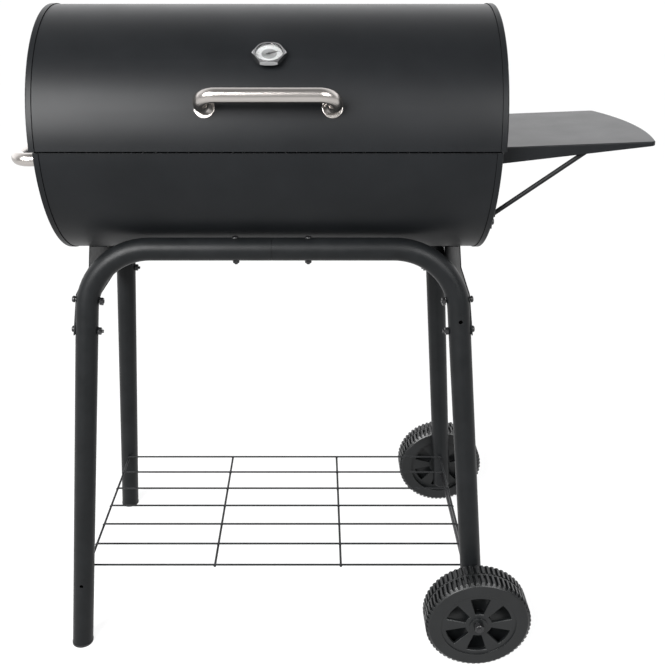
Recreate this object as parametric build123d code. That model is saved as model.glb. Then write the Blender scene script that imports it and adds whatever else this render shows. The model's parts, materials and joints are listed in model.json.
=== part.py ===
from build123d import *
from math import atan2, cos, degrees, radians, sin, sqrt
import os

# Barrel charcoal grill on a bent-tube stand, in millimetres, +Z up, front towards -Y.
# The pieces are designed about the barrel: X from the barrel's middle, Y from its axis, Z from
# the floor. They are moved along X at the end, so that the origin is under the middle of the
# whole outline, from the side handle to the shelf's tip.

# Barrel
barrel_length = 760
barrel_axis_z = 981
sheet = 1.2
lid_radius = 214
body_radius = 209.5
lid_edge_z = 986
body_edge_z = 983
body_half = 376
cap_band = 9.5
cap_round = 2.0
skin_gap = 0.05
seat_gap = 0.2

# Lid hinges
hinge_y = 222
hinge_z = 987
hinge_x = 250
hinge_width = 40
knuckle_radius = 5.5
hinge_pin_radius = 2.5
leaf = 2.0

# Handles
handle_tube = 11.5
handle_wall = 1.3
handle_span = 201
handle_bend = 26
lid_handle_x = 2
lid_handle_angle = 19.5
lid_handle_tilt = 35
lid_handle_reach = 44
lid_handle_splay = 28
side_handle_z = 950
side_handle_reach = 67
side_handle_splay = 8
handle_washer_radius = 16.5
handle_washer = 2.5

# Thermometer
gauge_x = 3
gauge_angle = 41.8
gauge_tilt = 16.2
gauge_lift = 3.6
gauge_collar_radius = 11
gauge_corner_radius = 27.7
gauge_height = 7.2
gauge_face_radius = 22
gauge_stem_radius = 3
gauge_stem_length = 40
needle_rest = -70

# Stand: each leg leans towards the middle by leg_lean_x and leg_lean_y per unit of height
tube_radius = 20
tube_wall = 1.2
leg_floor_x = 397.3
leg_floor_y = 239.9
leg_lean_x = 0.0967
leg_lean_y = 0.1049
rail_z = 805.5
corner_radius = 118
rail_gap = 0.3
joiner_half = 85
joiner_bolt_x = 63
foot_rim = 4
right_leg_end_z = 68

# Side plates
plate = 2.0
plate_low_z = 650
plate_bolt_z = (659, 714)
plate_nut_gap = (0, 2.6)

# Wire shelf between the legs
wire_shelf_z = 156
long_wire_radius = 2.0
cross_wire_radius = 2.3
long_wire_spacing = 66.9
long_wires = 7
cross_wire_spacing = 252.3
cross_wires = 4

# Wheels and axle
wheel_radius = 101
wheel_width = 59
wheel_inner_y = 249
hub_inset = 3
axle_radius = 4
axle_z = 101
lugs = 60
lug_depth = 5
windows = 6
axle_washer = 1.2

# Side shelf and its braces
shelf_top_z = 981.5
shelf_rise = 2.2
shelf_half_width = 158
shelf_length = 254
shelf_skew = 6
shelf_bulge = 22
shelf_deep = 28.5
shelf_shallow = 5
brace_radius = 4
brace_y = 148
brace_low_z = 853
brace_far = 174

# Grates
cook_grate_z = 962
cook_grate_half_y = 196
cook_grate_length = 366
char_grate_z = 840
char_grate_half_y = 146
grate_wire = 2.5
grate_frame_wire = 3.0

# Dampers
damper_radius = 46
damper_hole_radius = 11
damper_hole_circle = 28
intake_z = 862
exhaust_z = 1105
rivet_radius = 3

bolt_radius = 3
hole_play = 0.2
BOTTOM = (Align.CENTER, Align.CENTER, Align.MIN)
FAR = 2000

nodes = {}


# ---------------------------------------------------------------- shared shapes
def barrel_plane(x):
    """Plane across the barrel at x: local X is +Y, local Y is +Z, local Z is +X."""
    return Plane(origin=(x, 0, barrel_axis_z), x_dir=(0, 1, 0), z_dir=(1, 0, 0))


def radial_plane(x, angle, radius):
    """Plane touching the barrel's front at an angle above the horizontal, facing out."""
    a = radians(angle)
    spot = (x, -radius * cos(a), barrel_axis_z + radius * sin(a))
    return Plane(origin=spot, x_dir=(1, 0, 0), z_dir=(0, -cos(a), sin(a)))


def barrel_drum(radius, x_low, x_high):
    return barrel_plane(x_low) * Cylinder(radius, x_high - x_low, align=BOTTOM)


def above(z):
    return Pos(0, 0, z) * Box(FAR, FAR, FAR, align=BOTTOM)


def below(z):
    return Pos(0, 0, z - FAR) * Box(FAR, FAR, FAR, align=BOTTOM)


def rod(start, end, radius):
    span = Vector(*end) - Vector(*start)
    return Plane(origin=start, z_dir=span) * Cylinder(radius, span.length, align=BOTTOM)


def bolt(seat, head_radius, head_height, length, radius=bolt_radius):
    """Domed-head bolt; seat is the plane under its head, facing out."""
    head = Cylinder(head_radius, head_height, align=BOTTOM)
    head = fillet(head.edges().filter_by(GeomType.CIRCLE).sort_by(Axis.Z)[-1], head_height * 0.6)
    shank = Pos(0, 0, -length) * Cylinder(radius, length, align=BOTTOM)
    return seat * (head + shank)


def nut(seat, flats, height, radius=bolt_radius):
    """Hexagon nut with chamfered corners; seat is the plane under it, facing away."""
    corner = flats / sqrt(3)
    hexagon = extrude(RegularPolygon(corner, 6), amount=height)
    crown = Cylinder(corner, height, align=BOTTOM)
    crown = chamfer(crown.edges().filter_by(GeomType.CIRCLE).sort_by(Axis.Z)[-1], height * 0.18)
    hole = Cylinder(radius + 0.02, height, align=BOTTOM)
    return seat * ((hexagon & crown) - hole)


def drill(seat, radius, depth):
    """Round hole tool, running depth both ways from the seat plane."""
    return seat * Cylinder(radius, 2 * depth)


# ---------------------------------------------------------------- barrel and lid
def half_shell(radius, half_length):
    outside = barrel_drum(radius, -half_length, half_length)
    return outside - barrel_drum(radius - sheet, -half_length, half_length)


def end_cap(radius, face_x):
    """Right-hand end cap: a flat disc whose rim wraps over the barrel sheet."""
    outer = radius + skin_gap + sheet
    disc = Cylinder(outer, cap_band, align=BOTTOM)
    rim = disc.edges().filter_by(GeomType.CIRCLE).sort_by(Axis.Z)[-1]
    disc = fillet(rim, cap_round)
    pocket = Cylinder(radius + skin_gap, cap_band - sheet, align=BOTTOM)
    return barrel_plane(face_x - cap_band) * (disc - pocket)


def lid():
    half = barrel_length / 2
    shell = half_shell(lid_radius, half - sheet) & above(lid_edge_z)
    for seat in lid_handle_seats():
        shell -= drill(seat, bolt_radius + hole_play, 8)
    shell -= drill(gauge_seat(), gauge_stem_radius + hole_play, 8)
    for side in (-1, 1):
        for seat in hinge_rivet_seats(side, lid_radius, 1):
            shell -= drill(seat, rivet_radius + hole_play, 5)
    nodes["lid_shell"] = shell
    cap = end_cap(lid_radius, half) & above(lid_edge_z)
    nodes["lid_end_left"] = mirror(cap, about=Plane.YZ)
    nodes["lid_end_right"] = cap - damper_ports(exhaust_plane(), 0)


def firebox():
    shell = half_shell(body_radius, body_half - sheet) & below(body_edge_z)
    for side in (-1, 1):
        shell -= drill(saddle_seat(side), bolt_radius + hole_play, 8)
        for seat in hinge_rivet_seats(side, body_radius, -1):
            shell -= drill(seat, rivet_radius + hole_play, 5)
    nodes["firebox_shell"] = shell
    cap = end_cap(body_radius, body_half) & below(body_edge_z)
    left = mirror(cap, about=Plane.YZ) - damper_ports(intake_plane(), 0)
    for seat in side_handle_seats():
        left -= drill(seat, bolt_radius + hole_play, 8)
    right = cap
    for seat in shelf_bolt_seats() + [brace_seat(-1), brace_seat(1)]:
        right -= drill(seat, bolt_radius + hole_play, 8)
    nodes["firebox_end_left"] = left
    nodes["firebox_end_right"] = right


# ---------------------------------------------------------------- hinges
def hinge_rivet_seats(side, radius, way):
    """Rivets of one leaf, on the rear of the lid (way 1) or of the body (way -1)."""
    a = radians(6.5 * way)
    spots = (hinge_x * side - 12, hinge_x * side + 12)
    reach = radius + skin_gap + leaf
    return [
        Plane(
            origin=(x, reach * cos(a), barrel_axis_z + reach * sin(a)),
            x_dir=(1, 0, 0),
            z_dir=(0, cos(a), sin(a)),
        )
        for x in spots
    ]


def knuckle(x_low, x_high):
    seat = Plane(origin=(x_low, hinge_y, hinge_z), z_dir=(1, 0, 0))
    return seat * Cylinder(knuckle_radius, x_high - x_low, align=BOTTOM)


def hinge_leaf(side, radius, way, knuckles):
    """Curved leaf on the sheet, with a web to its knuckles on the hinge line."""
    x_low = hinge_x * side - hinge_width / 2
    x_high = x_low + hinge_width
    inner = radius + skin_gap
    curve = barrel_drum(inner + leaf, x_low, x_high) - barrel_drum(inner, x_low, x_high)
    low, high = (8, 36) if way > 0 else (-36, -6)
    band = Pos(hinge_x * side, inner, barrel_axis_z + low)
    curve &= band * Box(hinge_width, 40, high - low, align=(Align.CENTER, Align.CENTER, Align.MIN))
    root_z = barrel_axis_z + (high if way < 0 else low)
    root_y = sqrt(inner ** 2 - (root_z - barrel_axis_z) ** 2) + leaf / 2
    result = curve
    for start, end in knuckles:
        lean = atan2(hinge_y - root_y, hinge_z - root_z)
        web_length = sqrt((hinge_y - root_y) ** 2 + (hinge_z - root_z) ** 2)
        web = Box(end - start, leaf, web_length, align=BOTTOM)
        placed = Pos((start + end) / 2, root_y, root_z) * Rot(-degrees(lean), 0, 0) * web
        result += placed + knuckle(start, end)
    pin_line = Plane(origin=(x_low, hinge_y, hinge_z), z_dir=(1, 0, 0))
    result -= pin_line * Cylinder(hinge_pin_radius + 0.05, hinge_width, align=BOTTOM)
    for seat in hinge_rivet_seats(side, radius, way):
        result -= drill(seat, rivet_radius + hole_play, 5)
    return result


def hinges():
    third = hinge_width / 4
    for side, name in ((-1, "left"), (1, "right")):
        low = hinge_x * side - hinge_width / 2
        high = low + hinge_width
        outer = [(low, low + third - 0.4), (high - third + 0.4, high)]
        middle = [(low + third, high - third)]
        nodes["hinge_lid_leaf_" + name] = hinge_leaf(side, lid_radius, 1, outer)
        nodes["hinge_body_leaf_" + name] = hinge_leaf(side, body_radius, -1, middle)
        start = (low - 0.5, hinge_y, hinge_z)
        pin = rod(start, (high + 0.5, hinge_y, hinge_z), hinge_pin_radius)
        for x, way in ((low - 0.5, -1), (high + 0.5, 1)):
            seat = Plane(origin=(x, hinge_y, hinge_z), z_dir=(way, 0, 0))
            pin += seat * Cylinder(hinge_pin_radius + 1.5, 2, align=BOTTOM)
        nodes["hinge_pin_" + name] = pin
    for way, name, radius in ((1, "hinge_lid_rivets", lid_radius), (-1, "hinge_body_rivets", body_radius)):
        seats = [s for side in (-1, 1) for s in hinge_rivet_seats(side, radius, way)]
        nodes[name] = [bolt(s, 5, 2, leaf + skin_gap + sheet, rivet_radius) for s in seats]


# ---------------------------------------------------------------- handles
def handle_bar(feet, corners):
    """Bent tube handle from foot to foot through its two corners."""
    path = FilletPolyline(feet[0], corners[0], corners[1], feet[1], radius=handle_bend)
    section = Circle(handle_tube) - Circle(handle_tube - handle_wall)
    return sweep(Plane(origin=feet[0], z_dir=corners[0] - feet[0]) * section, path=path)


def handle_washer_ring(seat):
    ring = Cylinder(handle_washer_radius, handle_washer, align=BOTTOM)
    ring = fillet(ring.edges().filter_by(GeomType.CIRCLE).sort_by(Axis.Z)[-1], 1.0)
    return seat * (ring - Cylinder(bolt_radius + hole_play, handle_washer, align=BOTTOM))


def handle_screws(seats, reach):
    """Screws from inside the sheet through the washer into each handle end."""
    inward = [Plane(origin=s.origin - s.z_dir * (sheet + seat_gap), z_dir=-s.z_dir) for s in seats]
    return [bolt(s, 6.5, 3.5, reach) for s in inward]


def lid_handle_seats():
    half = handle_span / 2
    return [radial_plane(lid_handle_x + x, lid_handle_angle, lid_radius) for x in (-half, half)]


def side_handle_seats():
    half = handle_span / 2
    return [
        Plane(origin=(-body_half, y, side_handle_z), x_dir=(0, 1, 0), z_dir=(-1, 0, 0))
        for y in (-half, half)
    ]


def handle(prefix, seats, reach, splay, tilt):
    """One handle on two seats; its legs rise by tilt above the seats' own normal.

    Each leg splays outwards from its foot to the bar's corner. Each end of the tube is closed by
    a welded, threaded plug, and is cut flat on its washer.
    """
    outward = seats[0].z_dir.rotate(Axis((0, 0, 0), seats[0].x_dir), -tilt)
    along = (seats[1].origin - seats[0].origin).normalized()
    spare, plug_length, thread = 8, 20, 10
    feet, corners = [], []
    for seat, way in zip(seats, (-1, 1)):
        base = seat.origin + seat.z_dir * handle_washer
        corner = base + outward * (reach - handle_washer) + along * way * splay
        corners.append(corner)
        feet.append(base - (corner - base).normalized() * spare)
    bar = handle_bar(feet, corners)
    for foot, corner in zip(feet, corners):
        plug = Cylinder(handle_tube - handle_wall / 2, plug_length, align=BOTTOM)
        bar += Plane(origin=foot, z_dir=corner - foot) * plug
    for seat in seats:
        flat = Plane(origin=seat.origin + seat.z_dir * handle_washer, z_dir=-seat.z_dir)
        bar -= flat * Cylinder(60, 40, align=BOTTOM)
        bar -= drill(seat, bolt_radius + 0.02, thread)
    nodes[prefix] = bar
    nodes[prefix + "_washers"] = [handle_washer_ring(s) for s in seats]
    nodes[prefix + "_screws"] = handle_screws(seats, sheet + seat_gap + thread - 2)


# ---------------------------------------------------------------- thermometer
def gauge_seat():
    """Seat of the thermometer: its axis leans up from square to the lid, so it reads from above."""
    spot = radial_plane(gauge_x, gauge_angle, lid_radius)
    a = radians(gauge_angle + gauge_tilt)
    return Plane(origin=spot.origin, x_dir=(1, 0, 0), z_dir=(0, -cos(a), sin(a)))


def at_height(height, shape):
    return Pos(0, 0, height) * shape


def thermometer():
    """Hexagonal housing on a round collar, with dial, needle and glass, and a stem into the lid."""
    seat = gauge_seat()
    top = gauge_lift + gauge_height
    hexagon = extrude(RegularPolygon(gauge_corner_radius, 6), amount=gauge_height)
    crown = Cylinder(gauge_corner_radius, gauge_height, align=BOTTOM)
    rims = crown.edges().filter_by(GeomType.CIRCLE)
    housing = at_height(gauge_lift, hexagon & chamfer(rims, 1.6, 3.0))
    housing += at_height(-6, Cylinder(gauge_collar_radius, gauge_lift + 7, align=BOTTOM))
    cup_depth = 4.8
    housing -= at_height(top - cup_depth, Cylinder(gauge_face_radius, cup_depth, align=BOTTOM))
    housing -= Cylinder(gauge_stem_radius + 0.02, 40)
    housing = seat * housing - barrel_drum(lid_radius + skin_gap, -60, 60)
    nodes["thermometer_housing"] = housing
    dial_z = top - cup_depth
    dial = Cylinder(gauge_face_radius - 0.1, 0.6, align=BOTTOM) - Cylinder(1.2, 4)
    nodes["thermometer_dial"] = seat * at_height(dial_z, dial)
    glass = Cylinder(gauge_face_radius - 0.1, 2.2, align=BOTTOM)
    glass = fillet(glass.edges().filter_by(GeomType.CIRCLE).sort_by(Axis.Z)[-1], 1.2)
    nodes["thermometer_glass"] = seat * at_height(top - 2.2, glass)
    blade = Polyline((-1.2, -5), (1.2, -5), (0.4, 15), (-0.4, 15), close=True)
    needle = extrude(make_face(blade), amount=0.5) + Cylinder(2.2, 0.5, align=BOTTOM)
    needle = at_height(dial_z + 1.4, Rot(0, 0, needle_rest) * needle)
    needle += at_height(dial_z - 0.2, Cylinder(0.8, 1.8, align=BOTTOM))
    nodes["thermometer_needle"] = seat * needle
    stem = Cylinder(gauge_stem_radius, gauge_stem_length + dial_z - 0.4, align=BOTTOM)
    nodes["thermometer_stem"] = seat * at_height(-gauge_stem_length, stem)
    inside = Plane(origin=seat.origin - seat.z_dir * 4, x_dir=(1, 0, 0), z_dir=-seat.z_dir)
    nodes["thermometer_nut"] = nut(inside, 17, 5, gauge_stem_radius)


# ---------------------------------------------------------------- dampers
def exhaust_plane():
    return Plane(origin=(barrel_length / 2, 0, exhaust_z), x_dir=(0, 1, 0), z_dir=(1, 0, 0))


def intake_plane():
    return Plane(origin=(-body_half, 0, intake_z), x_dir=(0, -1, 0), z_dir=(-1, 0, 0))


def damper_ports(seat, turn):
    """Four round ports on a circle, as one cutting tool, with the middle rivet's hole."""
    ports = Cylinder(rivet_radius + hole_play, 12)
    for i in range(4):
        a = radians(turn + 90 * i)
        spot = Pos(damper_hole_circle * cos(a), damper_hole_circle * sin(a), 0)
        ports += spot * Cylinder(damper_hole_radius, 12)
    return seat * ports


def damper(prefix, seat):
    """Turning disc over the ports, closed at rest, with a bent-up finger tab."""
    disc = Pos(0, 0, 0.4) * Cylinder(damper_radius, 1.5, align=BOTTOM)
    tab = Pos(0, damper_radius - 4, 0.4) * Box(14, 1.8, 16, align=BOTTOM)
    tab = fillet(tab.edges().filter_by(Axis.Y).sort_by(Axis.Z)[-2:], 4)
    nodes[prefix] = seat * (disc + tab) - damper_ports(seat, 45)
    rivet = Plane(origin=seat.origin + seat.z_dir * 2.2, z_dir=seat.z_dir)
    tail = Pos(0, 0, -(2.2 + sheet + 2.2)) * Cylinder(5, 2, align=BOTTOM)
    nodes[prefix + "_rivet"] = bolt(rivet, 7, 2.5, 2.2 + sheet + 0.3, rivet_radius) + rivet * tail


# ---------------------------------------------------------------- stand
def leg_point(side, face, z):
    """Point on a leg's centreline at height z."""
    return (side * (leg_floor_x - leg_lean_x * z), face * (leg_floor_y - leg_lean_y * z), z)


def rail_y():
    return leg_floor_y - leg_lean_y * rail_z


def outward_x(side):
    """Direction square to the leaning side plates."""
    return Vector(side, 0, leg_lean_x).normalized()


def plate_plane(side, z, offset):
    """Plane on a side plate's lean, offset out from the legs' centrelines, local Y up."""
    spot = Vector(*leg_point(side, 0, z)) + outward_x(side) * offset
    return Plane(origin=spot, x_dir=(0, side, 0), z_dir=outward_x(side))


def plate_bolt_line(side, face, z, offset):
    spot = Vector(*leg_point(side, face, z)) + outward_x(side) * offset
    return Plane(origin=spot, x_dir=(0, side, 0), z_dir=outward_x(side))


def leg(side, face):
    """One leg and its half of the top rail: a single tube bent at the corner."""
    start = Vector(*leg_point(side, face, right_leg_end_z if side > 0 else -30))
    corner = Vector(*leg_point(side, face, rail_z))
    end = Vector(side * rail_gap, face * rail_y(), rail_z)
    path = FilletPolyline(start, corner, end, radius=corner_radius)
    section = Circle(tube_radius) - Circle(tube_radius - tube_wall)
    tube = sweep(Plane(origin=start, z_dir=corner - start) * section, path=path)
    if side < 0:
        tube &= above(foot_rim)
    for z in plate_bolt_z:
        tube -= drill(plate_bolt_line(side, face, z, 0), bolt_radius + hole_play, 40)
    tube -= drill(rail_bolt_seat(side, face), bolt_radius + hole_play, 45)
    wire_x = side * cross_wire_spacing * (cross_wires - 1) / 2
    start_y = face * (leg_floor_y - leg_lean_y * wire_shelf_z)
    wire = rod((wire_x, 0, wire_shelf_z), (wire_x, start_y, wire_shelf_z), cross_wire_radius + 0.3)
    tube -= wire
    if side > 0:
        tube -= rod((axle_x(), -FAR, axle_z), (axle_x(), FAR, axle_z), axle_radius + 0.05)
    spare = 681 if side > 0 else 142
    spot = leg_point(side, face, spare)
    tube -= rod(spot, (spot[0], face * FAR, spare), 3.5)
    return tube


def legs():
    for side, hand in ((-1, "left"), (1, "right")):
        for face, place in ((-1, "front"), (1, "rear")):
            nodes["leg_%s_%s" % (place, hand)] = leg(side, face)


def leg_plug(side, face, z, rim):
    """Plastic plug in a tube end: a rim under the tube and a stub inside it."""
    low = Vector(*leg_point(side, face, z - rim - 20))
    lean = Vector(*leg_point(side, face, 200)) - Vector(*leg_point(side, face, 0))
    stub_reach = Plane(origin=low, z_dir=lean) * Cylinder(tube_radius - tube_wall - 0.1, 60, align=BOTTOM)
    rim_reach = Plane(origin=low, z_dir=lean) * Cylinder(tube_radius + 0.6, 60, align=BOTTOM)
    stub = stub_reach & above(z - 0.5) & below(z + 22)
    ring = rim_reach & above(z - rim) & below(z)
    return stub + ring


def feet():
    for face, place in ((-1, "front"), (1, "rear")):
        nodes["foot_%s_left" % place] = leg_plug(-1, face, foot_rim, foot_rim)
    caps = []
    for face in (-1, 1):
        end = Vector(*leg_point(1, face, right_leg_end_z))
        lean = Vector(*leg_point(1, face, 200)) - Vector(*leg_point(1, face, 0))
        line = Plane(origin=end, z_dir=lean)
        cap = Cylinder(tube_radius - tube_wall - 0.1, 20, align=BOTTOM)
        caps.append(line * (cap + Pos(0, 0, -2) * Cylinder(tube_radius, 2, align=BOTTOM)))
    nodes["leg_end_caps"] = caps


def rail_bolt_seat(side, face):
    spot = (side * joiner_bolt_x, face * rail_y(), rail_z + tube_radius)
    return Plane(origin=spot, z_dir=(0, 0, 1))


def rail_joiners():
    """Sleeves inside the rails where their halves meet, each with two bolts and nuts."""
    bolts, nuts = [], []
    for face, place in ((-1, "front"), (1, "rear")):
        y = face * rail_y()
        outer = tube_radius - tube_wall - 0.1
        sleeve = rod((-joiner_half, y, rail_z), (joiner_half, y, rail_z), outer)
        sleeve -= rod((-joiner_half, y, rail_z), (joiner_half, y, rail_z), outer - 1.5)
        for side in (-1, 1):
            seat = rail_bolt_seat(side, face)
            sleeve -= drill(seat, bolt_radius + hole_play, 45)
            bolts.append(bolt(seat, 6, 3, 2 * tube_radius + 7))
            low = Plane(origin=seat.origin - Vector(0, 0, 2 * tube_radius), z_dir=(0, 0, -1))
            nuts.append(nut(low, 10, 5))
        nodes["rail_joiner_" + place] = sleeve
    nodes["rail_bolts"] = bolts
    nodes["small_nuts"] = nuts


def saddle_x(side):
    return side * 330


def saddle_seat(side):
    """Under the barrel's lowest line, where the side plate's tab is bolted to it."""
    low = barrel_axis_z - body_radius - 0.3 - plate
    return Plane(origin=(saddle_x(side), 0, low), x_dir=(1, 0, 0), z_dir=(0, 0, -1))


def side_plate(side):
    """Plate bolted to two legs, rising to a curved tab that carries the barrel."""
    half = [(180, -50), (158, 20), (64, 38), (55, 100)]
    outline = half + [(-u, v) for u, v in reversed(half)]
    face = make_face(Polyline(*outline, close=True))
    panel = plate_plane(side, 700, tube_radius + 0.1) * extrude(face, amount=plate)
    under = body_radius + 0.3
    panel -= barrel_drum(under, -barrel_length, barrel_length)
    top_x = leg_floor_x - leg_lean_x * 770 + tube_radius + plate
    tab_low, tab_high = sorted((saddle_x(side) - side * 16, side * top_x))
    tab = barrel_drum(under + plate, tab_low, tab_high) - barrel_drum(under, tab_low, tab_high)
    tab &= Pos(0, 0, barrel_axis_z) * Box(FAR, 92, FAR, align=(Align.CENTER, Align.CENTER, Align.MAX))
    panel += tab
    panel -= drill(saddle_seat(side), bolt_radius + hole_play, 8)
    for face_side in (-1, 1):
        for z in plate_bolt_z:
            panel -= drill(plate_bolt_line(side, face_side, z, tube_radius), bolt_radius + hole_play, 10)
    return panel


def side_plates():
    bolts, nuts, saddle_bolts, saddle_nuts = [], [], [], []
    for side, hand in ((-1, "left"), (1, "right")):
        nodes["side_plate_" + hand] = side_plate(side)
        for face in (-1, 1):
            for z, gap in zip(plate_bolt_z, plate_nut_gap):
                seat = plate_bolt_line(side, face, z, tube_radius + plate + 0.1)
                bolts.append(bolt(seat, 6, 4.5, 2 * tube_radius + plate + 10))
                spot = plate_bolt_line(side, face, z, -tube_radius - gap)
                back = Plane(origin=spot.origin, z_dir=-spot.z_dir)
                nuts.append(nut(back, 13, 6))
        seat = saddle_seat(side)
        saddle_bolts.append(bolt(seat, 6, 4, 14))
        top = barrel_axis_z - body_radius + sheet + seat_gap
        saddle_nuts.append(nut(Plane(origin=(saddle_x(side), 0, top), z_dir=(0, 0, 1)), 10, 5))
    nodes["plate_bolts"] = bolts
    nodes["plate_nuts"] = nuts
    nodes["saddle_bolts"] = saddle_bolts
    nodes["small_nuts"] += saddle_nuts


# ---------------------------------------------------------------- wire shelf
def bottom_shelf():
    """Welded wire shelf; its end wires run into holes in the legs."""
    half_x = cross_wire_spacing * (cross_wires - 1) / 2
    half_y = long_wire_spacing * (long_wires - 1) / 2
    long_z = wire_shelf_z + long_wire_radius + cross_wire_radius - 0.6
    shelf = None
    for i in range(cross_wires):
        x = -half_x + i * cross_wire_spacing
        end = half_y if 0 < i < cross_wires - 1 else leg_floor_y - leg_lean_y * wire_shelf_z - 8
        wire = rod((x, -end, wire_shelf_z), (x, end, wire_shelf_z), cross_wire_radius)
        shelf = wire if shelf is None else shelf + wire
    for i in range(long_wires):
        y = -half_y + i * long_wire_spacing
        shelf += rod((-half_x, y, long_z), (half_x, y, long_z), long_wire_radius)
    nodes["bottom_shelf"] = shelf


# ---------------------------------------------------------------- wheels
def axle_x():
    return leg_floor_x - leg_lean_x * axle_z


def lug_ring(turn, y_low, y_high):
    """Row of tread lugs round the tyre, as one toothed slab."""
    pitch = 360 / lugs
    points = []
    for i in range(lugs):
        for part, radius in ((0.0, -1), (0.12, 0), (0.52, 0), (0.64, -1)):
            a = radians(turn + (i + part) * pitch)
            r = wheel_radius + radius * lug_depth
            points.append((r * cos(a), r * sin(a)))
    slab = extrude(make_face(Polyline(*points, close=True)), amount=y_high - y_low)
    return Pos(0, 0, y_low) * slab


def wheel_window(inner, outer, half_angle):
    """Outline of one window between two spokes, centred on local +Y."""
    start, sweep_angle = 90 - half_angle, 2 * half_angle
    far = CenterArc((0, 0), outer, start, sweep_angle)
    near = CenterArc((0, 0), inner, start, sweep_angle)
    return make_face([far, near, Line(far @ 0, near @ 0), Line(far @ 1, near @ 1)])


def cut_ring(radius, low, high):
    return at_height(low, Cylinder(radius, high - low, align=BOTTOM))


def wheel(face):
    """Hollow moulded wheel, built on its own axis with the outer face at the top.

    Windows go through the inner and outer webs into the hollow, which a middle web closes. The
    inner face is set in, so that the tyre passes the leg's end.
    """
    hub_radius, dish_radius, hollow_radius = 17, 72, 80
    inner_face, outer_face = 10, wheel_width - 2
    middle = wheel_width / 2
    tyre = cut_ring(wheel_radius - lug_depth, 0, wheel_width)
    tyre += lug_ring(0, 0, middle - 2)
    tyre += lug_ring(180 / lugs, middle + 2, wheel_width)
    tyre += cut_ring(wheel_radius - 1.5, middle - 2, middle + 2)
    shoulder = Cylinder(wheel_radius + 1, wheel_width, align=BOTTOM)
    tyre &= chamfer(shoulder.edges().filter_by(GeomType.CIRCLE), 6, 8)
    tyre -= cut_ring(dish_radius, 0, inner_face) + cut_ring(dish_radius, outer_face, wheel_width)
    tyre -= cut_ring(hollow_radius, inner_face + 5, middle - 3)
    tyre -= cut_ring(hollow_radius, middle + 3, outer_face - 6)
    tyre += cut_ring(hub_radius, hub_inset, wheel_width)
    window = wheel_window(26, 63, 17)
    bevel = extrude(wheel_window(25, 64, 18.2), amount=-1.4, taper=40)
    for i in range(windows):
        turn = Rot(0, 0, 360 / windows * i)
        tyre -= turn * extrude(window, amount=middle - 3)
        tyre -= turn * at_height(middle + 3, extrude(window, amount=middle))
        tyre -= turn * at_height(outer_face, bevel)
    tyre -= Cylinder(axle_radius + 0.05, 3 * wheel_width)
    seat = Plane(origin=(axle_x(), face * wheel_inner_y, axle_z), x_dir=(1, 0, 0), z_dir=(0, face, 0))
    return seat * tyre


def wheels():
    nodes["wheel_front"] = wheel(-1)
    nodes["wheel_rear"] = wheel(1)
    outer = wheel_inner_y + wheel_width
    reach = outer + 12
    nodes["axle"] = rod((axle_x(), -reach, axle_z), (axle_x(), reach, axle_z), axle_radius)
    washers, nuts = [], []
    for face in (-1, 1):
        for y in (wheel_inner_y + hub_inset - axle_washer - 0.2, outer + 0.2):
            seat = Plane(origin=(axle_x(), face * y, axle_z), z_dir=(0, face, 0))
            ring = Cylinder(8.5, axle_washer, align=BOTTOM)
            ring -= Cylinder(axle_radius + 0.05, axle_washer, align=BOTTOM)
            washers.append(seat * ring)
        nut_y = face * (outer + 0.2 + axle_washer)
        seat = Plane(origin=(axle_x(), nut_y, axle_z), z_dir=(0, face, 0))
        nuts.append(nut(seat, 17, 9.5, axle_radius))
    nodes["axle_washers"] = washers
    nodes["axle_nuts"] = nuts


# ---------------------------------------------------------------- side shelf
def shelf_plane():
    a = radians(shelf_rise)
    origin = (body_half, 0, shelf_top_z)
    return Plane(origin=origin, x_dir=(cos(a), 0, sin(a)), z_dir=(-sin(a), 0, cos(a)))


def shelf_outline(inset):
    corner = shelf_length - inset
    half = shelf_half_width - inset
    back = -20
    near, far = (corner + shelf_skew, -half), (corner - shelf_skew, half)
    outer = ThreePointArc(near, (corner + shelf_bulge, 0), far)
    sides = Polyline(far, (back, half), (back, -half), near)
    face = make_face([outer, sides])
    tips = [v for v in face.vertices() if v.X > 0]
    return fillet(tips, 10 - inset)


def shelf_bolt_seats():
    spots = (-130, -43, 43, 130)
    return [
        Plane(origin=(body_half + sheet, y, shelf_top_z - 14), x_dir=(0, 1, 0), z_dir=(1, 0, 0))
        for y in spots
    ]


def brace_seat(face):
    spot = (body_half + 2.5, face * brace_y, brace_low_z)
    return Plane(origin=spot, x_dir=(0, 1, 0), z_dir=(1, 0, 0))


def past_barrel_end():
    side = (Align.MIN, Align.CENTER, Align.CENTER)
    return Pos(body_half, 0, 0) * Box(FAR, FAR, 2 * FAR, align=side)


def side_shelf():
    """Pressed tray: flat top and a skirt that tapers from the barrel to the outer edge."""
    block = extrude(shelf_outline(0), amount=-shelf_deep - 6)
    block = fillet(block.faces().sort_by(Axis.Z)[-1].edges(), 2.0)
    hollow = extrude(shelf_outline(sheet), amount=-shelf_deep - 6)
    tray = block - Pos(0, 0, -sheet) * hollow
    length = shelf_length + shelf_bulge
    slope = [(-10, -shelf_deep), (length + 10, -shelf_shallow), (length + 10, -60), (-10, -60)]
    wedge = Plane.XZ * make_face(Polyline(*slope, close=True))
    tray -= Pos(0, FAR / 2, 0) * extrude(wedge, amount=FAR)
    tray = shelf_plane() * tray
    tray &= past_barrel_end()
    flange = Box(sheet, 2 * shelf_half_width, shelf_deep, align=(Align.MIN, Align.CENTER, Align.MAX))
    tray += Pos(body_half, 0, shelf_top_z - sheet / 2) * flange
    for seat in shelf_bolt_seats():
        tray -= drill(seat, bolt_radius + hole_play, 8)
    nodes["side_shelf"] = tray
    nodes["shelf_bolts"] = [bolt(s, 6, 4, 6) for s in shelf_bolt_seats()]


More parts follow.
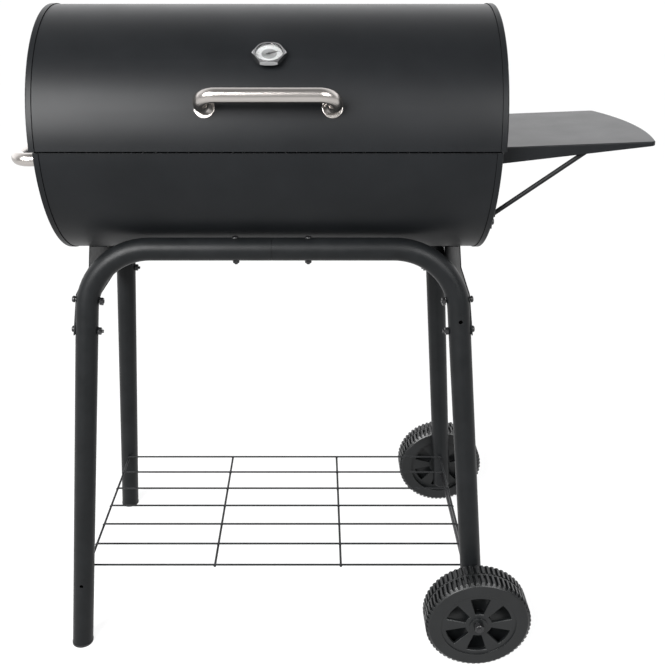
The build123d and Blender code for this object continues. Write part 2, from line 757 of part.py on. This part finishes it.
def brace(face):
    """Round rod with flattened, screwed ends, under one side of the shelf."""
    low = brace_seat(face)
    low_tab = low * (Pos(0, 2, -2.5) * Box(14, 26, 2.5, align=BOTTOM))
    high = shelf_plane().location * Pos(brace_far - 2, face * brace_y, -sheet - 2.5)
    high_tab = high * Box(26, 14, 2.5, align=BOTTOM)
    top = shelf_plane().location * Pos(brace_far - 14, face * brace_y, -sheet - 6)
    start = (body_half + 5, face * brace_y, brace_low_z + 14)
    end = Vector(*top.position)
    line = rod(start, (end.X, end.Y, end.Z), brace_radius)
    result = line + low_tab + high_tab
    result += Pos(body_half + 3.5, face * brace_y, brace_low_z + 12) * Box(7, 10, 6)
    result += top * Box(10, 8, 9)
    result &= past_barrel_end()
    shelf_space = shelf_plane() * (Pos(0, 0, -sheet) * Box(FAR, FAR, FAR, align=BOTTOM))
    return result - shelf_space - drill(low, bolt_radius + hole_play, 8)


def braces():
    nodes["shelf_brace_front"] = brace(-1)
    nodes["shelf_brace_rear"] = brace(1)
    nodes["shelf_bolts"] += [bolt(brace_seat(face), 6, 4, 12) for face in (-1, 1)]


# ---------------------------------------------------------------- grates
def grate(x_low, x_high, half_y, z, wires, rails):
    """Welded wire grate: a rod frame, cross wires on top and a few long stiffeners."""
    shape = None
    for y in [-half_y + 2 * half_y * i / (rails - 1) for i in range(rails)]:
        bar = rod((x_low, y, z), (x_high, y, z), grate_frame_wire)
        shape = bar if shape is None else shape + bar
    wire_z = z + grate_frame_wire + grate_wire - 1.0
    step = (x_high - x_low - 12) / (wires - 1)
    for i in range(wires):
        x = x_low + 6 + i * step
        shape += rod((x, -half_y - 3, wire_z), (x, half_y + 3, wire_z), grate_wire)
    return shape


def grates():
    gap = 3
    half = cook_grate_length + gap
    nodes["cooking_grate_left"] = grate(-half, -gap, cook_grate_half_y, cook_grate_z, 20, 3)
    nodes["cooking_grate_right"] = grate(gap, half, cook_grate_half_y, cook_grate_z, 20, 3)
    nodes["charcoal_grate"] = grate(-340, 340, char_grate_half_y, char_grate_z, 24, 4)
    ledges = []
    top = cook_grate_z - grate_frame_wire
    for face in (-1, 1):
        shelf = Box(2 * half, 16, 2, align=(Align.CENTER, Align.CENTER, Align.MAX))
        strip = Pos(0, face * (cook_grate_half_y + 4), top) * shelf
        strip += Pos(0, face * (cook_grate_half_y + 8), top) * Box(
            2 * half, 2, 24, align=(Align.CENTER, Align.CENTER, Align.MAX)
        )
        ledges.append(strip & barrel_drum(body_radius - sheet - 0.1, -half, half))
    nodes["grate_ledges"] = ledges


# ---------------------------------------------------------------- assembly
def model():
    lid()
    firebox()
    hinges()
    tilt = lid_handle_tilt - lid_handle_angle
    handle("lid_handle", lid_handle_seats(), lid_handle_reach, lid_handle_splay, tilt)
    handle("side_handle", side_handle_seats(), side_handle_reach, side_handle_splay, 0)
    thermometer()
    damper("exhaust_damper", exhaust_plane())
    damper("intake_damper", intake_plane())
    legs()
    feet()
    rail_joiners()
    side_plates()
    bottom_shelf()
    wheels()
    side_shelf()
    braces()
    grates()


def group(shape):
    pieces = shape if isinstance(shape, list) else [shape]
    return Compound(children=[solid for piece in pieces for solid in piece.solids()])


def write():
    os.makedirs("parts", exist_ok=True)
    groups = {name: group(shape) for name, shape in nodes.items()}
    low = groups["side_handle"].bounding_box().min.X
    high = groups["side_shelf"].bounding_box().max.X
    for name, shape in groups.items():
        export_step(Pos(-(low + high) / 2, 0, 0) * shape, os.path.join("parts", name + ".step"))


model()
write()
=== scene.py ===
import json
import math

import bmesh
import bpy
from mathutils import Matrix, Vector


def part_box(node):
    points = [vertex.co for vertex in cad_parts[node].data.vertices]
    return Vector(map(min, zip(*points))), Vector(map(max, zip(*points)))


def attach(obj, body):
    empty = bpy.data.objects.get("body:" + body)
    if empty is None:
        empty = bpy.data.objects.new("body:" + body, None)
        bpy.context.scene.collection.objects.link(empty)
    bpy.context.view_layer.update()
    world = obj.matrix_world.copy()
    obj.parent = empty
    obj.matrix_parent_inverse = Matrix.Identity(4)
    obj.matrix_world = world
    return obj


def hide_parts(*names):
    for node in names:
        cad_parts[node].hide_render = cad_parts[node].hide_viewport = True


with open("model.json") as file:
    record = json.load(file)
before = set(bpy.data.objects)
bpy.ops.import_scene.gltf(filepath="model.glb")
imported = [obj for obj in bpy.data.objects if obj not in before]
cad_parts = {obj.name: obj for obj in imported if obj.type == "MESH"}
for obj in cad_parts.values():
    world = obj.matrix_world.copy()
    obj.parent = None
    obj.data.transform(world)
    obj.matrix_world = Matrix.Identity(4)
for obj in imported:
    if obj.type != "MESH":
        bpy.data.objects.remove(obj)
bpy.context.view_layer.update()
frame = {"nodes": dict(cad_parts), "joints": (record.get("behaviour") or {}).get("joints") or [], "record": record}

# Barrel charcoal grill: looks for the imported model. Metres, +Z up, the front towards -Y.

NODES = frame["nodes"]
LID_LOW, LID_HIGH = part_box("lid_shell")
LID_CENTRE = (LID_LOW + LID_HIGH) / 2
AXIS_Z = LID_HIGH.z - (LID_HIGH.y - LID_LOW.y) / 2.0

NOISE_MIDDLE = (0.3, 0.7)
BEVEL_SAMPLES = 6
SHARP_ANGLE = math.radians(35.0)
PEEL_FINE = 0.6
SPECK_LIGHTER = 2.2
BRUSH_DARKER = 0.82
INK_LIGHTER = 1.4


# ---------------------------------------------------------------- node helpers
class Shader:
    """One Principled material and the small node pieces that the finishes share."""

    def __init__(self, name):
        self.material = bpy.data.materials.new(name)
        self.material.use_nodes = True
        self.tree = self.material.node_tree
        self.surface = self.tree.nodes["Principled BSDF"]
        self.place = self.tree.nodes.new("ShaderNodeTexCoord").outputs["Object"]

    def new(self, kind, **inputs):
        node = self.tree.nodes.new(kind)
        for key, value in inputs.items():
            node.inputs[key.replace("_", " ")].default_value = value
        return node

    def link(self, source, target):
        self.tree.links.new(source, target)

    def fixed(self, **inputs):
        for key, value in inputs.items():
            self.surface.inputs[key.replace("_", " ")].default_value = value

    def stretched(self, scale):
        mapping = self.new("ShaderNodeMapping", Scale=scale)
        self.link(self.place, mapping.inputs["Vector"])
        return mapping.outputs["Vector"]

    def noise(self, scale, detail=3.0, roughness=0.5, stretch=None):
        node = self.new("ShaderNodeTexNoise", Scale=scale, Detail=detail, Roughness=roughness)
        self.link(self.stretched(stretch) if stretch else self.place, node.inputs["Vector"])
        return node.outputs["Fac"]

    def cells(self, scale):
        node = self.new("ShaderNodeTexVoronoi", Scale=scale)
        self.link(self.place, node.inputs["Vector"])
        return node.outputs["Distance"]

    def remap(self, source, low, high, to_low, to_high):
        node = self.new("ShaderNodeMapRange")
        for index, value in enumerate((low, high, to_low, to_high), start=1):
            node.inputs[index].default_value = value
        self.link(source, node.inputs[0])
        return node.outputs[0]

    def middle(self, noise, to_low, to_high):
        """Spreads the middle of a noise's range over to_low to to_high."""
        return self.remap(noise, *NOISE_MIDDLE, to_low, to_high)

    def blend(self, factor, first, second):
        node = self.tree.nodes.new("ShaderNodeMix")
        node.data_type = "RGBA"
        for socket, value in ((node.inputs[6], first), (node.inputs[7], second)):
            if isinstance(value, bpy.types.NodeSocket):
                self.link(value, socket)
            else:
                socket.default_value = (*value, 1.0)
        self.link(factor, node.inputs[0])
        return node.outputs[2]

    def colour(self, source):
        self.link(source, self.surface.inputs["Base Color"])

    def rough(self, source):
        self.link(source, self.surface.inputs["Roughness"])

    def bump(self, layers, edge=None):
        """Stacks (height, strength, depth in metres) layers into the surface normal.

        edge is the radius in metres of worn, paint-rounded corners.
        """
        normal = None
        if edge:
            soft = self.tree.nodes.new("ShaderNodeBevel")
            soft.samples = BEVEL_SAMPLES
            soft.inputs["Radius"].default_value = edge
            normal = soft.outputs["Normal"]
        for height, strength, depth in layers:
            node = self.new("ShaderNodeBump", Strength=strength, Distance=depth)
            self.link(height, node.inputs["Height"])
            if normal is not None:
                self.link(normal, node.inputs["Normal"])
            normal = node.outputs["Normal"]
        self.link(normal, self.surface.inputs["Normal"])


# ---------------------------------------------------------------- finishes
def painted_steel(name, dark, light, rough_low, rough_high, peel):
    """Heat-proof black paint: faint mottling, orange peel and fine dust grain."""
    s = Shader(name)
    s.fixed(Specular_IOR_Level=0.125)
    mottle = s.middle(s.noise(7.0, detail=5.0, roughness=0.55), 0.0, 1.0)
    speck = s.remap(s.noise(900.0, detail=2.0, roughness=0.6), 0.62, 0.75, 0.0, 0.35)
    base = s.blend(mottle, dark, light)
    s.colour(s.blend(speck, base, tuple(c * SPECK_LIGHTER for c in light)))
    s.rough(s.middle(s.noise(16.0, detail=6.0, roughness=0.6), rough_low, rough_high))
    coarse = (s.noise(420.0, detail=3.0, roughness=0.5), peel, 0.0004)
    fine = (s.noise(1600.0, detail=2.0, roughness=0.5), peel * PEEL_FINE, 0.0002)
    s.bump([coarse, fine], edge=0.0008)
    return s.material


def powder_coat(name, dark, light, rough_low, rough_high):
    """Frame coating: finer and more matt than the barrel, with a pebbled texture."""
    s = Shader(name)
    s.fixed(Specular_IOR_Level=0.125)
    mottle = s.middle(s.noise(22.0, detail=4.0, roughness=0.6), 0.0, 1.0)
    s.colour(s.blend(mottle, dark, light))
    s.rough(s.middle(s.noise(60.0, detail=4.0, roughness=0.6), rough_low, rough_high))
    pebbles = (s.cells(950.0), 0.16, 0.0002)
    waves = (s.noise(300.0, detail=3.0, roughness=0.5), 0.12, 0.0003)
    s.bump([pebbles, waves], edge=0.0007)
    return s.material


def brushed_steel(name, tint, rough_low, rough_high, along):
    """Stainless steel with brush lines running along one axis."""
    s = Shader(name)
    s.fixed(Metallic=1.0)
    lines = s.noise(1.0, detail=4.0, roughness=0.65, stretch=along)
    cloud = s.noise(30.0, detail=4.0, roughness=0.6)
    darker = tuple(c * BRUSH_DARKER for c in tint)
    s.colour(s.blend(s.middle(lines, 0.0, 1.0), darker, tint))
    mixed = s.new("ShaderNodeMath")
    mixed.operation = "ADD"
    s.link(s.remap(lines, 0.25, 0.75, rough_low, rough_high), mixed.inputs[0])
    s.link(s.middle(cloud, -0.01, 0.02), mixed.inputs[1])
    s.rough(mixed.outputs[0])
    s.bump([(lines, 0.02, 0.0001)])
    return s.material


def moulded_plastic(name, dark, light, rough_low, rough_high):
    """Matt moulded plastic with a fine spark-eroded grain and faint flow marks."""
    s = Shader(name)
    s.fixed(Specular_IOR_Level=0.26)
    flow = s.middle(s.noise(14.0, detail=5.0, roughness=0.6, stretch=(1.0, 3.0, 1.0)), 0.0, 1.0)
    s.colour(s.blend(flow, dark, light))
    s.rough(s.middle(s.noise(80.0, detail=4.0, roughness=0.6), rough_low, rough_high))
    sparks = (s.cells(1400.0), 0.18, 0.00015)
    waves = (s.noise(90.0, detail=3.0, roughness=0.5), 0.08, 0.0004)
    s.bump([sparks, waves], edge=0.0009)
    return s.material


def plated_steel(name, dark, light, metallic, rough_low, rough_high):
    """Plated fasteners: thin coat over steel with small handling marks."""
    s = Shader(name)
    s.fixed(Metallic=metallic)
    marks = s.remap(s.noise(180.0, detail=5.0, roughness=0.65), 0.35, 0.7, 0.0, 1.0)
    s.colour(s.blend(marks, dark, light))
    s.rough(s.middle(s.noise(120.0, detail=4.0, roughness=0.6), rough_low, rough_high))
    s.bump([(s.noise(700.0, detail=3.0, roughness=0.6), 0.15, 0.0002)], edge=0.0006)
    return s.material


def enamelled_wire(name):
    """Grate wire: glossy porcelain with darker burnt patches."""
    s = Shader(name)
    burnt = s.remap(s.noise(35.0, detail=6.0, roughness=0.65), 0.4, 0.7, 0.0, 1.0)
    s.colour(s.blend(burnt, (0.035, 0.034, 0.034), (0.012, 0.011, 0.011)))
    s.rough(s.remap(burnt, 0.0, 1.0, 0.28, 0.55))
    s.bump([(s.noise(500.0, detail=4.0, roughness=0.6), 0.25, 0.0003)])
    return s.material


def dial_paint(name):
    """Grey paint of the thermometer's dial."""
    s = Shader(name)
    shade = s.noise(300.0, detail=3.0, roughness=0.5)
    s.colour(s.blend(shade, (0.17, 0.17, 0.17), (0.22, 0.22, 0.22)))
    s.rough(s.middle(shade, 0.45, 0.6))
    s.bump([(s.noise(900.0, detail=2.0, roughness=0.5), 0.05, 0.0001)])
    return s.material


def printed_ink(name, tone):
    """Matt print in one tone."""
    s = Shader(name)
    shade = s.noise(500.0, detail=3.0, roughness=0.5)
    s.colour(s.blend(shade, tone, tuple(c * INK_LIGHTER for c in tone)))
    s.rough(s.middle(shade, 0.5, 0.65))
    return s.material


def painted_seam_shade(name):
    """Near-black, glossless colour for the seam beads: painted shade for the shadow deep in a seam."""
    s = Shader(name)
    s.fixed(Specular_IOR_Level=0.03)
    shade = s.noise(300.0, detail=3.0, roughness=0.5)
    # near-black base colour: painted shade standing in for the seam's shadow
    s.colour(s.blend(shade, (0.0006, 0.0006, 0.0007), (0.0016, 0.0016, 0.0017)))
    s.rough(s.middle(shade, 0.8, 0.95))
    return s.material


def clear_glass(name):
    """Clear glass with the faintest smears."""
    s = Shader(name)
    s.fixed(Transmission_Weight=1.0, IOR=1.45)
    s.colour(s.blend(s.noise(40.0), (0.97, 0.98, 0.98), (0.99, 1.0, 1.0)))
    s.rough(s.middle(s.noise(60.0, detail=4.0), 0.0, 0.04))
    return s.material


FINISHES = {
    "enamel_black": painted_steel(
        "barrel_paint",
        dark=(0.0028, 0.0032, 0.0037), light=(0.0046, 0.0051, 0.0058),
        rough_low=0.385, rough_high=0.42, peel=0.10,
    ),
    "frame_black": powder_coat(
        "frame_coat",
        dark=(0.0030, 0.0034, 0.0037), light=(0.0050, 0.0055, 0.0060),
        rough_low=0.36, rough_high=0.46,
    ),
    "wire_black": powder_coat(
        "wire_coat",
        dark=(0.0040, 0.0044, 0.0048), light=(0.0070, 0.0074, 0.0080),
        rough_low=0.38, rough_high=0.48,
    ),
    "stainless": brushed_steel(
        "brushed_stainless",
        tint=(0.44, 0.415, 0.395), along=(12.0, 1500.0, 1500.0),
        rough_low=0.215, rough_high=0.235,
    ),
    "wheel_plastic": moulded_plastic(
        "wheel_plastic",
        dark=(0.0022, 0.0026, 0.0028), light=(0.0042, 0.0047, 0.0050),
        rough_low=0.30, rough_high=0.42,
    ),
    "foot_plastic": moulded_plastic(
        "foot_plastic",
        dark=(0.0060, 0.0060, 0.0065), light=(0.0100, 0.0100, 0.0105),
        rough_low=0.45, rough_high=0.6,
    ),
    "fastener_black": plated_steel(
        "black_fastener",
        dark=(0.006, 0.006, 0.0065), light=(0.014, 0.014, 0.015),
        metallic=0.35, rough_low=0.25, rough_high=0.40,
    ),
    "fastener_zinc": plated_steel(
        "zinc_fastener",
        dark=(0.42, 0.41, 0.39), light=(0.60, 0.59, 0.56),
        metallic=1.0, rough_low=0.25, rough_high=0.42,
    ),
    "gauge_metal": brushed_steel(
        "gauge_housing",
        tint=(0.36, 0.36, 0.365), along=(60.0, 700.0, 700.0),
        rough_low=0.10, rough_high=0.20,
    ),
    "gauge_glass": clear_glass("gauge_glass"),
    "gauge_dial": dial_paint("dial_face"),
    "gauge_needle": printed_ink("needle_paint", tone=(0.012, 0.012, 0.013)),
    "grate_steel": enamelled_wire("grate_enamel"),
}
FACE_WHITE = printed_ink("dial_white", tone=(0.40, 0.40, 0.40))
FACE_INK = printed_ink("dial_ink", tone=(0.010, 0.010, 0.011))
GASKET = moulded_plastic(
    "dial_rubber",
    dark=(0.004, 0.004, 0.004), light=(0.008, 0.008, 0.008),
    rough_low=0.5, rough_high=0.65,
)
# near-black seam colour: painted shade for the shadow in the seams
SEAM_SHADE = painted_seam_shade("seam_shadow")


def dress_frame():
    """Gives every CAD node the finish of its material slot."""
    for part in frame["record"]["subparts"]:
        mesh = NODES[part["node"]].data
        mesh.materials.clear()
        mesh.materials.append(FINISHES[part["material_slot"]])


# ---------------------------------------------------------------- mesh helpers
def piece(name, bm, material, body):
    """Turns a bmesh, already in the shared frame, into a named piece that rides on a body."""
    bmesh.ops.recalc_face_normals(bm, faces=bm.faces)
    mesh = bpy.data.meshes.new(name)
    bm.to_mesh(mesh)
    bm.free()
    for polygon in mesh.polygons:
        polygon.use_smooth = True
    mesh.set_sharp_from_angle(angle=SHARP_ANGLE)
    mesh.materials.append(material)
    obj = bpy.data.objects.new(name, mesh)
    bpy.context.scene.collection.objects.link(obj)
    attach(obj, body)
    return obj


def skin_between(bm, first, second):
    """Strip of faces between two closed loops with the same number of points."""
    count = len(first)
    for i in range(count):
        j = (i + 1) % count
        bm.faces.new((first[i], first[j], second[j], second[i]))


def circle(steps):
    """Evenly spaced angles round a full turn."""
    return [2.0 * math.pi * k / steps for k in range(steps)]


def turned(bm, place, profile, steps=96):
    """Closed ring: the closed (radius, height) profile turned about place's own Z."""
    rings = []
    for a in circle(steps):
        ring = [bm.verts.new(place @ Vector((r * math.cos(a), r * math.sin(a), h))) for r, h in profile]
        rings.append(ring)
    for k in range(steps):
        skin_between(bm, rings[k], rings[(k + 1) % steps])


def bead_along(bm, points, radius, sides=8):
    """Round bead with closed ends along a smooth chain of points in a plane of constant X."""
    across = Vector((1.0, 0.0, 0.0))
    rings = []
    for k, point in enumerate(points):
        ahead = points[min(k + 1, len(points) - 1)] - points[max(k - 1, 0)]
        out = ahead.cross(across).normalized()
        rim = [point + radius * (math.cos(a) * out + math.sin(a) * across) for a in circle(sides)]
        rings.append([bm.verts.new(spot) for spot in rim])
    for first, second in zip(rings, rings[1:]):
        skin_between(bm, first, second)
    bm.faces.new(rings[0])
    bm.faces.new(rings[-1])


def block(bm, place, low, high):
    """Small box between two corners given in place's own axes."""
    corners = {}
    for i in (0, 1):
        for j in (0, 1):
            for k in (0, 1):
                spot = Vector(((low, high)[i][0], (low, high)[j][1], (low, high)[k][2]))
                corners[i, j, k] = bm.verts.new(place @ spot)
    for axis in range(3):
        for side in (0, 1):
            loop = []
            for pair in ((0, 0), (0, 1), (1, 1), (1, 0)):
                key = list(pair)
                key.insert(axis, side)
                loop.append(corners[tuple(key)])
            bm.faces.new(loop)


# ---------------------------------------------------------------- thermometer face
BAND_INNER, BAND_OUTER = 0.0122, 0.0205
BAND_TOP, TICK_TOP = 0.0001, 0.00018
TICK_COUNT, TICKS_PER_MAJOR = 27, 5
TICK_SWEEP = math.radians(260.0)
TICK_OUTER = 0.0197
MAJOR_HALF, MAJOR_INNER = 0.00032, 0.0155
MINOR_HALF, MINOR_INNER = 0.00018, 0.0175
GASKET_INNER, GASKET_LIP, GASKET_OUTER = 0.0206, 0.0212, 0.0219
GASKET_GRIP = 0.0004
LENS_RIM, LENS_RISE, LENS_THICK, LENS_SEAT = 0.0217, 0.0026, 0.0011, 0.0006
LENS_ROWS, LENS_STEPS = 14, 96
BEZEL_RADIUS, BEZEL_WIDE, BEZEL_TALL, BEZEL_SIDES = 0.0223, 0.0007, 0.0006, 10


def joint(name):
    """The frame's joint of that name."""
    return next(j for j in frame["joints"] if j["name"] == name)


def gauge_place():
    """Frame of the dial: Z out of the glass, X along the barrel, origin on the needle's axis."""
    turn = joint("thermometer_needle_turn")
    out = -Vector(turn["axis"]).normalized()
    along = Vector((1.0, 0.0, 0.0))
    up = out.cross(along)
    axes = Matrix((along, up, out)).transposed().to_4x4()
    return Matrix.Translation(Vector(turn["pos_m"])) @ axes


def span_along(node, place):
    """Lowest and highest reach of a node along place's Z."""
    inverse = place.inverted()
    reach = [(inverse @ v.co).z for v in NODES[node].data.vertices]
    return min(reach), max(reach)


def dial_print(place, dial_top):
    """Pale band and its plain ticks, long ones at every fifth."""
    low, high = dial_top, dial_top + BAND_TOP
    band = bmesh.new()
    turned(band, place, [(BAND_INNER, low), (BAND_OUTER, low), (BAND_OUTER, high), (BAND_INNER, high)])
    piece("dial_band", band, FACE_WHITE, "lid")

    ticks = bmesh.new()
    for k in range(TICK_COUNT):
        sweep = TICK_SWEEP * (k / (TICK_COUNT - 1) - 0.5)
        major = k % TICKS_PER_MAJOR == 0
        half = MAJOR_HALF if major else MINOR_HALF
        inner = MAJOR_INNER if major else MINOR_INNER
        spin = place @ Matrix.Rotation(-sweep, 4, "Z")
        block(ticks, spin, (-half, inner, high), (half, TICK_OUTER, dial_top + TICK_TOP))
    piece("dial_ticks", ticks, FACE_INK, "lid")


def dial_gasket(place, dial_top, glass_low):
    """Rubber ring between the dial and the glass."""
    low, high = dial_top, glass_low + GASKET_GRIP
    ring = bmesh.new()
    turned(ring, place, [(GASKET_INNER, low), (GASKET_OUTER, low), (GASKET_OUTER, high), (GASKET_LIP, high)])
    piece("dial_gasket", ring, GASKET, "lid")


def dial_lens(place, glass_high):
    """Domed glass of even thickness, in place of the CAD's flat one."""
    steps = [k / LENS_ROWS for k in range(LENS_ROWS + 1)]
    outer = [(LENS_RIM * t, glass_high - LENS_SEAT + LENS_RISE * (1.0 - t ** 2)) for t in steps]
    inner = [(r, h - LENS_THICK) for r, h in outer]
    lens = bmesh.new()
    rims = []
    for profile in (outer, inner):
        tip = lens.verts.new(place @ Vector((0.0, 0.0, profile[0][1])))
        rows = []
        for r, h in profile[1:]:
            row = [place @ Vector((r * math.cos(a), r * math.sin(a), h)) for a in circle(LENS_STEPS)]
            rows.append([lens.verts.new(spot) for spot in row])
        for i in range(LENS_STEPS):
            lens.faces.new((tip, rows[0][i], rows[0][(i + 1) % LENS_STEPS]))
        for first, second in zip(rows, rows[1:]):
            skin_between(lens, first, second)
        rims.append(rows[-1])
    skin_between(lens, rims[0], rims[1])
    glass = piece("dial_lens", lens, FINISHES["gauge_glass"], "lid")
    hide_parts("thermometer_glass")


def dial_bezel(place, glass_high):
    """Thin polished bead that holds the glass."""
    bead = bmesh.new()
    profile = []
    for a in circle(BEZEL_SIDES):
        profile.append((BEZEL_RADIUS + BEZEL_WIDE * math.cos(a), glass_high + BEZEL_TALL * math.sin(a)))
    turned(bead, place, profile)
    piece("dial_bezel", bead, FINISHES["gauge_metal"], "lid")


def thermometer_face():
    """Everything that the CAD's plain dial and flat glass leave out."""
    place = gauge_place()
    dial_top = span_along("thermometer_dial", place)[1]
    glass_low, glass_high = span_along("thermometer_glass", place)
    dial_print(place, dial_top)
    dial_gasket(place, dial_top, glass_low)
    dial_lens(place, glass_high)
    dial_bezel(place, glass_high)


# ---------------------------------------------------------------- painted seam shade on the barrel, and shelf welds
SEAM_SINK = 0.00025
SEAM_RADIUS = 0.0007
CROSS_WIRES, CROSS_SPACING = 4, 0.2523
LONG_WIRES, LONG_SPACING = 7, 0.0669
WELD_HALF = (0.0031, 0.0031, 0.0024)


def arc_points(x, radius, first, last, steps=72):
    """Points about the barrel's axis, from angle first to last above the front horizontal."""
    points = []
    for k in range(steps + 1):
        a = first + (last - first) * k / steps
        points.append(Vector((x, -radius * math.cos(a), AXIS_Z + radius * math.sin(a))))
    return points


def seam_shade_beads():
    """Thin near-black beads where each end cap's rim meets the barrel sheet: painted shade for the shadow in the
    seam.
    """
    for part, shell, body in (("lid", "lid_shell", "lid"), ("body", "firebox_shell", "stand")):
        low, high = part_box(shell)
        radius = (high.y - low.y) / 2.0
        if part == "lid":
            edge = math.asin((low.z - AXIS_Z) / radius)
            first, last = edge, math.pi - edge
            caps = ("lid_end_left", "lid_end_right")
        else:
            edge = math.asin((high.z - AXIS_Z) / radius)
            first, last = edge, -math.pi - edge
            caps = ("firebox_end_left", "firebox_end_right")
        for cap in caps:
            cap_low, cap_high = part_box(cap)
            x = cap_high.x if cap.endswith("left") else cap_low.x
            bm = bmesh.new()
            bead_along(bm, arc_points(x, radius + SEAM_SINK, first, last), SEAM_RADIUS)
            # near-black bead along the seam: painted shade, not a paint colour of its own
            piece(cap + "_seam_shade", bm, SEAM_SHADE, body)


def shelf_welds():
    """Small weld nuggets where the shelf's cross wires carry its long wires."""
    low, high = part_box("bottom_shelf")
    middle_x = (low.x + high.x) / 2.0
    xs = [middle_x + CROSS_SPACING * (i - (CROSS_WIRES - 1) / 2.0) for i in range(CROSS_WIRES)]
    ys = [LONG_SPACING * (j - (LONG_WIRES - 1) / 2.0) for j in range(LONG_WIRES)]
    z = (low.z + high.z) / 2.0
    bm = bmesh.new()
    for x in xs:
        for y in ys:
            shape = Matrix.Translation((x, y, z)) @ Matrix.Diagonal((*WELD_HALF, 1.0))
            bmesh.ops.create_icosphere(bm, subdivisions=2, radius=1.0, matrix=shape)
    piece("shelf_welds", bm, FINISHES["wire_black"], "stand")


# ---------------------------------------------------------------- stage, light, camera
# Lights and the camera are placed from the barrel's middle, on the floor.
BARREL_MID = Vector((LID_CENTRE.x, 0.0, 0.0))
# World tones from the horizon up: (height of the view ray, brightness).
WALL_STOPS = ((0.0, 1.6), (0.5, 1.55), (0.85, 0.8), (1.0, 0.25))
ROOM_STOPS = ((0.0, 0.42), (0.12, 0.3), (0.7, 0.22), (1.0, 0.25))
STOP_BLUER = 1.01
WORLD_STRENGTH = 1.35
ROOM_TO_WALL = 0.25
FLOOR_SIZE, FLOOR_Z = 60.0, -0.0005
FLOOR_GLOW = 0.80
FLOOR_DARK_Y = -2.9
FLOOR_LIT_Y = -0.95
KEY = {"spot": (-1.9, -2.9, 2.65), "aim": (-0.15, -0.2, 1.05), "size": (2.4, 2.3), "watts": 520.0}
FILL = {"spot": (1.9, -2.8, 2.5), "aim": (0.25, -0.2, 1.0), "size": (1.7, 1.9), "watts": 150.0}
EYE_SPOT = (0.0778, -1.561, 1.2675)
EYE_DOWN = 24.125
EYE_LENS, EYE_SENSOR = 45.87, 36.0
EYE_SHIFT_X, EYE_SHIFT_Y = 0.0237, 0.0069


def soft_light(name, spot, aim, size, watts):
    """Rectangular area light, placed and aimed from the barrel's middle."""
    data = bpy.data.lights.new(name, "AREA")
    data.shape = "RECTANGLE"
    data.size, data.size_y = size
    data.energy = watts
    lamp = bpy.data.objects.new(name, data)
    bpy.context.scene.collection.objects.link(lamp)
    lamp.location = BARREL_MID + Vector(spot)
    way = BARREL_MID + Vector(aim) - lamp.location
    lamp.rotation_euler = way.to_track_quat("-Z", "Y").to_euler()


def ramp(tree, source, stops):
    """Near-grey colour ramp through (position, level) stops."""
    node = tree.nodes.new("ShaderNodeValToRGB")
    tree.links.new(source, node.inputs["Fac"])
    elements = node.color_ramp.elements
    while len(elements) < len(stops):
        elements.new(0.5)
    for element, (position, level) in zip(elements, stops):
        element.position = position
        element.color = (level, level, level * STOP_BLUER, 1.0)
    return node.outputs["Color"]


def surroundings():
    """Bright wall behind the grill, white ceiling, and a dimmer room on the viewer's side."""
    world = bpy.data.worlds.new("studio")
    bpy.context.scene.world = world
    world.use_nodes = True
    tree = world.node_tree
    split = tree.nodes.new("ShaderNodeSeparateXYZ")
    way = tree.nodes.new("ShaderNodeTexCoord")
    tree.links.new(way.outputs["Generated"], split.inputs[0])
    wall = ramp(tree, split.outputs["Z"], WALL_STOPS)
    room = ramp(tree, split.outputs["Z"], ROOM_STOPS)
    side = tree.nodes.new("ShaderNodeMapRange")
    tree.links.new(split.outputs["Y"], side.inputs["Value"])
    side.inputs["From Min"].default_value = -ROOM_TO_WALL
    side.inputs["From Max"].default_value = ROOM_TO_WALL
    mix = tree.nodes.new("ShaderNodeMix")
    mix.data_type = "RGBA"
    tree.links.new(side.outputs["Result"], mix.inputs[0])
    tree.links.new(room, mix.inputs[6])
    tree.links.new(wall, mix.inputs[7])
    back = tree.nodes["Background"]
    tree.links.new(mix.outputs[2], back.inputs["Color"])
    back.inputs["Strength"].default_value = WORLD_STRENGTH


def studio():
    """Pale floor, its surroundings, and two large soft lights on the viewer's side."""
    bpy.ops.mesh.primitive_plane_add(size=FLOOR_SIZE, location=(0.0, 0.0, FLOOR_Z))
    floor = bpy.context.object
    floor.name = "floor"
    s = Shader("floor_paint")
    s.fixed(Emission_Strength=FLOOR_GLOW)
    across = s.tree.nodes.new("ShaderNodeSeparateXYZ")
    s.link(s.place, across.inputs[0])
    lit = s.remap(across.outputs["Y"], FLOOR_DARK_Y, FLOOR_LIT_Y, 0.5, 1.0)
    s.link(s.blend(lit, (0.0, 0.0, 0.0), (1.0, 1.0, 1.0)), s.surface.inputs["Emission Color"])
    s.colour(s.blend(s.noise(3.0), (0.115, 0.115, 0.115), (0.12, 0.12, 0.12)))
    s.rough(s.middle(s.noise(8.0), 0.85, 0.95))
    floor.data.materials.append(s.material)
    surroundings()
    soft_light("key", **KEY)
    soft_light("fill", **FILL)
    bpy.context.scene.view_settings.view_transform = "Standard"


def camera():
    """Eye a little above the lid, looking down at the front with the sides kept upright."""
    data = bpy.data.cameras.new("camera")
    data.lens = EYE_LENS
    data.sensor_width = EYE_SENSOR
    data.shift_x, data.shift_y = EYE_SHIFT_X, EYE_SHIFT_Y
    eye = bpy.data.objects.new("camera", data)
    bpy.context.scene.collection.objects.link(eye)
    eye.location = BARREL_MID + Vector(EYE_SPOT)
    eye.rotation_euler = (math.radians(90.0 - EYE_DOWN), 0.0, 0.0)
    data.dof.use_dof = False
    bpy.context.scene.camera = eye


dress_frame()
thermometer_face()
seam_shade_beads()
shelf_welds()
studio()
camera()
